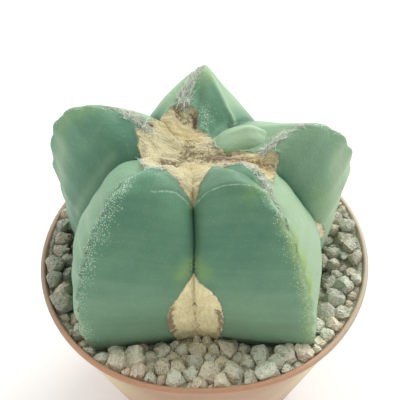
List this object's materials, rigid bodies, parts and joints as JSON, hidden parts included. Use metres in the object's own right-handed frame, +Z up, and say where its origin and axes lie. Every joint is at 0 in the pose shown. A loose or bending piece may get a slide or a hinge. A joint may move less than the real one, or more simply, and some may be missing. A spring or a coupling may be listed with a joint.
{
  "type": "potted monstrose bishops cap cactus",
  "caption": "Spineless, broad-ribbed bishop's cap cactus of the monstrose kind, with a scarred corky crown, growing in pumice in a tapered round nursery pot.",
  "frame": {"origin": "centre of the underside of the pot's base, on the surface it stands on", "axes": "+Z up along the pot's axis; -Y towards the side where the two front ribs meet over the corky heart-shaped scar; +X to the right seen from there"},
  "size_m": [0.1, 0.1, 0.124],
  "materials": {
    "pot_plastic": "satin",
    "potting_mix": "matte",
    "pumice": "matte",
    "cactus_skin": "matte",
    "cork": "matte",
    "areole_wool": "matte"
  },
  "bodies": {
    "root": {"pot": "pot_plastic", "potting_mix": "potting_mix", "pumice_top_dressing": "pumice", "cactus_body": "cactus_skin"}
  },
  "joints": []
}
